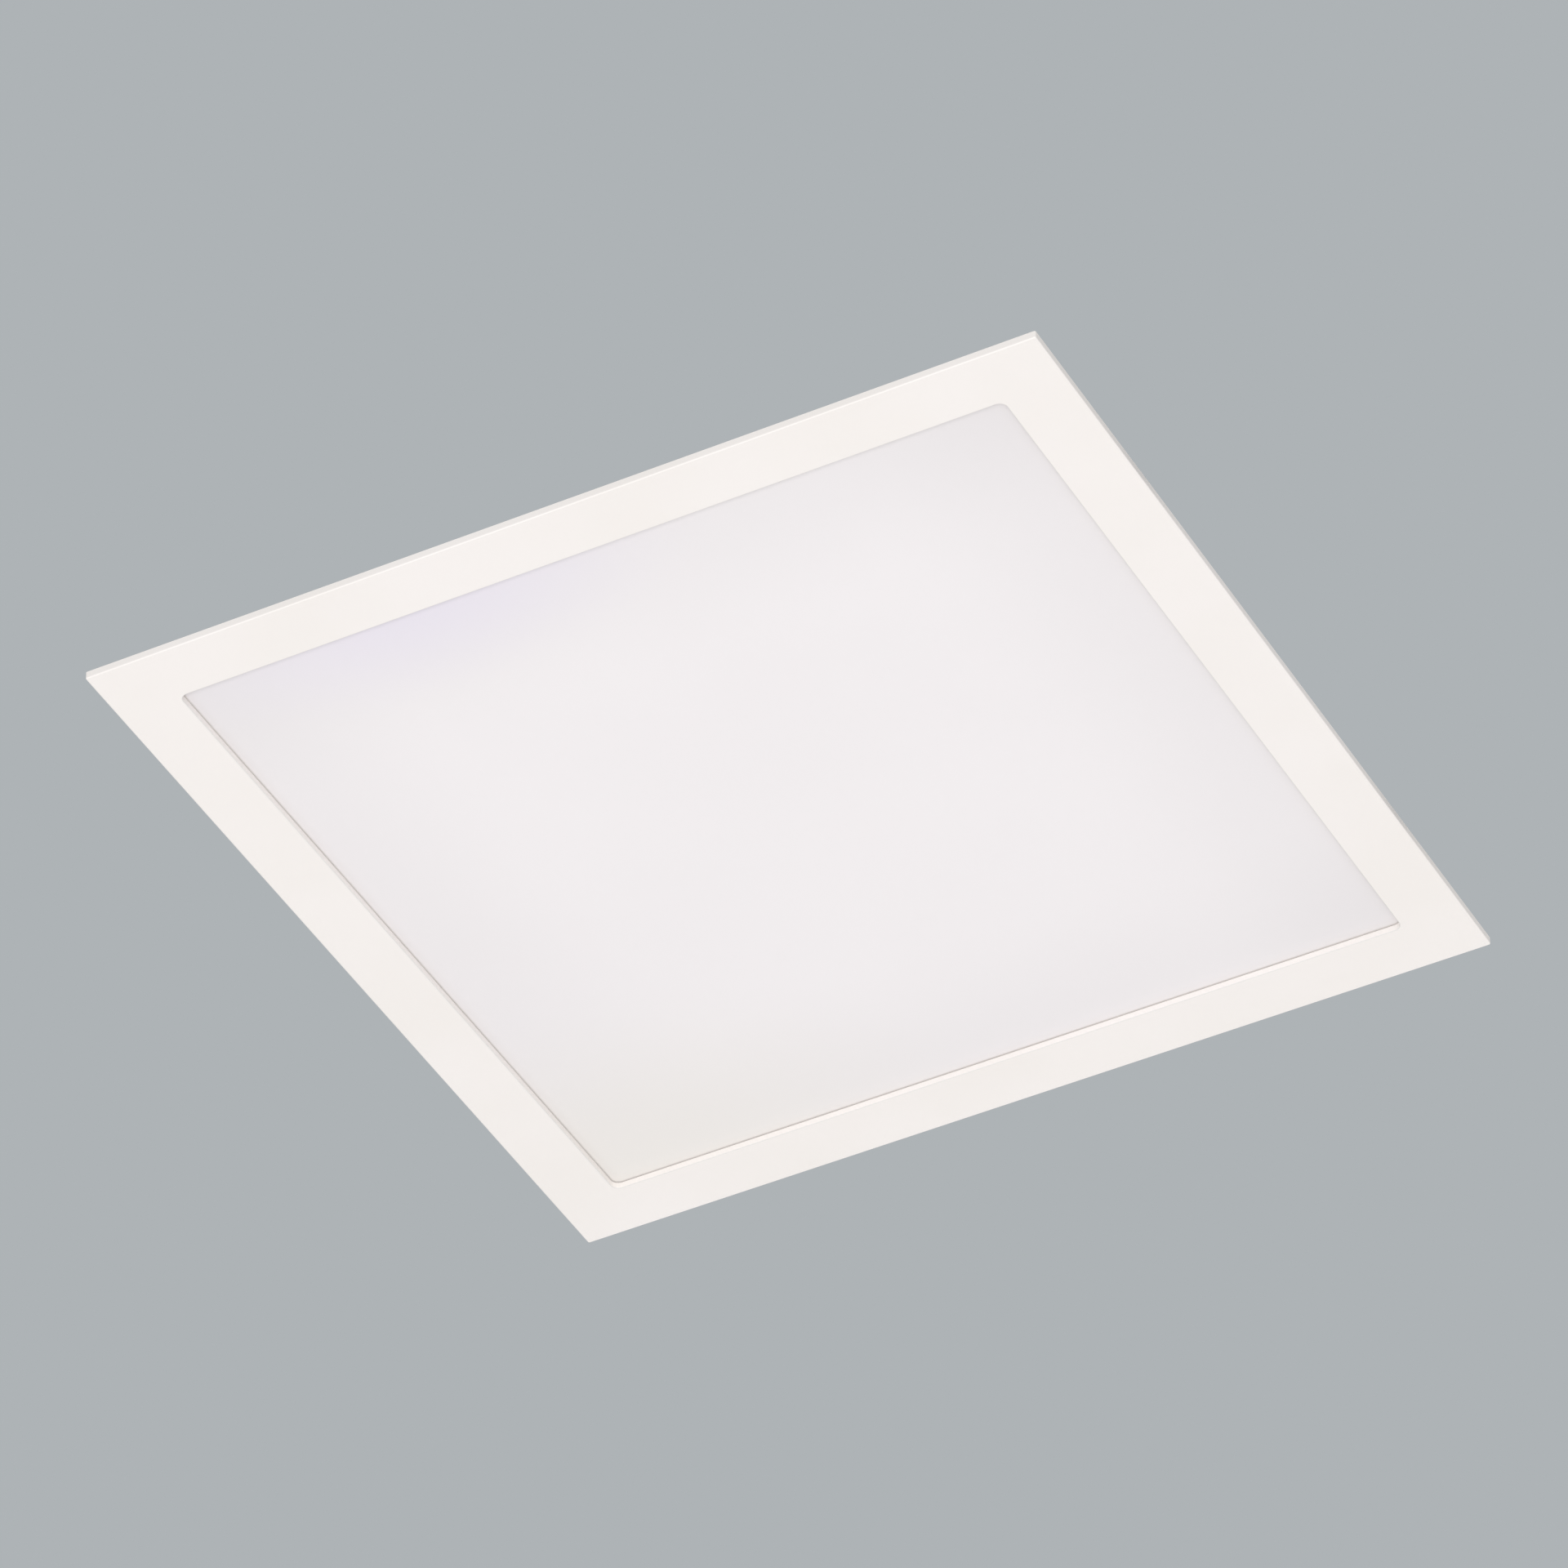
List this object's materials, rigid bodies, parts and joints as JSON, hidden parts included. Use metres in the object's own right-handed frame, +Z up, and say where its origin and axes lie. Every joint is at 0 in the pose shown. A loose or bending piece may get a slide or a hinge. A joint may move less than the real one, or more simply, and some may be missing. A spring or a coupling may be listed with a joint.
{
  "type": "recessed ceiling light",
  "caption": "Slim square recessed LED ceiling light: white frame with an opal diffuser, a driver on the back and sprung clip arms that hold it in a ceiling cut-out.",
  "frame": {"origin": "centre of the panel on the ceiling's lower surface, which is the plane of the lip's back face", "axes": "+Z up into the ceiling void, +X towards the right-hand clips, +Y towards the end of the driver that is away from its cable inlet"},
  "size_m": [0.356, 0.3, 0.035],
  "materials": {
    "white_powder_coat": "satin white powder coat on die-cast aluminium",
    "opal_plastic": "satin opal polystyrene",
    "clear_acrylic": "polished clear acrylic with printed dots",
    "white_film": "white reflecting film",
    "white_foam": "closed-cell foam",
    "white_sheet": "white coil-coated sheet steel",
    "zinc_screw": "bright zinc plated steel",
    "led_board": "white solder mask",
    "led_phosphor": "LED package with yellow phosphor",
    "thermal_tape": "thermal transfer tape",
    "copper": "tinned copper strip",
    "red_pvc": "red PVC insulation",
    "black_pvc": "black PVC insulation",
    "black_rubber": "moulded rubber",
    "white_plastic": "fine textured moulded plastic",
    "circuit_laminate": "glass epoxy laminate with green solder mask",
    "terminal_plastic": "moulded polyamide",
    "fuse_plastic": "brown moulded plastic",
    "varistor_epoxy": "blue epoxy dip",
    "film_box": "yellow potted box",
    "shrink_sleeve": "black shrink sleeve",
    "moulded_epoxy": "black moulding compound",
    "ferrite": "sintered ferrite",
    "winding_tape": "yellow polyester tape",
    "zinc_bracket": "zinc plated sheet steel",
    "bright_steel": "bright steel",
    "spring_wire": "drawn spring steel wire",
    "sleeve_vinyl": "dipped soft vinyl"
  },
  "bodies": {
    "panel": {"front_frame": "white_powder_coat", "opal_diffuser": "opal_plastic", "light_guide_plate": "clear_acrylic", "reflector_sheet": "white_film", "foam_pad": "white_foam", "back_cover": "white_sheet", "back_cover_screws": "zinc_screw", "driver_cover_screws": "zinc_screw", "driver_mount_screws": "zinc_screw", "board_screws": "zinc_screw", "terminal_screws": "zinc_screw", "led_board_right": "led_board", "led_board_rear": "led_board", "led_board_left": "led_board", "led_board_front": "led_board", "led_packages": "led_phosphor", "thermal_tapes": "thermal_tape", "corner_links": "copper", "lead_positive": "red_pvc", "lead_negative": "black_pvc", "lead_grommet": "black_rubber", "cable_grommet": "black_rubber", "driver_base": "white_plastic", "driver_cover": "white_plastic", "terminal_cover": "white_plastic", "driver_board": "circuit_laminate", "mains_terminal_block": "terminal_plastic", "input_fuse": "fuse_plastic", "input_varistor": "varistor_epoxy", "film_capacitor": "film_box", "filter_choke": "shrink_sleeve", "input_capacitor": "shrink_sleeve", "output_capacitors": "shrink_sleeve", "bridge_rectifier": "moulded_epoxy", "power_transistor": "moulded_epoxy", "transformer_core": "ferrite", "transformer_winding": "winding_tape", "clip_bracket_right_front": "zinc_bracket", "clip_bracket_right_rear": "zinc_bracket", "clip_bracket_left_rear": "zinc_bracket", "clip_bracket_left_front": "zinc_bracket", "clip_pin_right_front": "bright_steel", "clip_pin_right_rear": "bright_steel", "clip_pin_left_rear": "bright_steel", "clip_pin_left_front": "bright_steel", "clip_rivets": "bright_steel", "clip_spring_right_front": "spring_wire", "clip_spring_right_rear": "spring_wire", "clip_spring_left_rear": "spring_wire", "clip_spring_left_front": "spring_wire"},
    "arm_right_front": {"clip_arm_right_front": "zinc_bracket", "clip_sleeve_right_front": "sleeve_vinyl"},
    "arm_right_rear": {"clip_arm_right_rear": "zinc_bracket", "clip_sleeve_right_rear": "sleeve_vinyl"},
    "arm_left_rear": {"clip_arm_left_rear": "zinc_bracket", "clip_sleeve_left_rear": "sleeve_vinyl"},
    "arm_left_front": {"clip_arm_left_front": "zinc_bracket", "clip_sleeve_left_front": "sleeve_vinyl"}
  },
  "joints": [
    {"name": "arm_right_front_hinge", "type": "hinge", "parent": "panel", "child": "arm_right_front", "pos_m": [0.134, -0.085, 0.015], "axis": [0, -1, 0], "range_deg": [0, 102], "stiffness_Nm_per_rad": 0.12, "springref_deg": -45.84, "deforming": ["clip_spring_right_front"]},
    {"name": "arm_right_rear_hinge", "type": "hinge", "parent": "panel", "child": "arm_right_rear", "pos_m": [0.134, 0.085, 0.015], "axis": [0, -1, 0], "range_deg": [0, 102], "stiffness_Nm_per_rad": 0.12, "springref_deg": -45.84, "deforming": ["clip_spring_right_rear"]},
    {"name": "arm_left_rear_hinge", "type": "hinge", "parent": "panel", "child": "arm_left_rear", "pos_m": [-0.134, 0.085, 0.015], "axis": [0, 1, 0], "range_deg": [0, 102], "stiffness_Nm_per_rad": 0.12, "springref_deg": -45.84, "deforming": ["clip_spring_left_rear"]},
    {"name": "arm_left_front_hinge", "type": "hinge", "parent": "panel", "child": "arm_left_front", "pos_m": [-0.134, -0.085, 0.015], "axis": [0, 1, 0], "range_deg": [0, 102], "stiffness_Nm_per_rad": 0.12, "springref_deg": -45.84, "deforming": ["clip_spring_left_front"]}
  ]
}
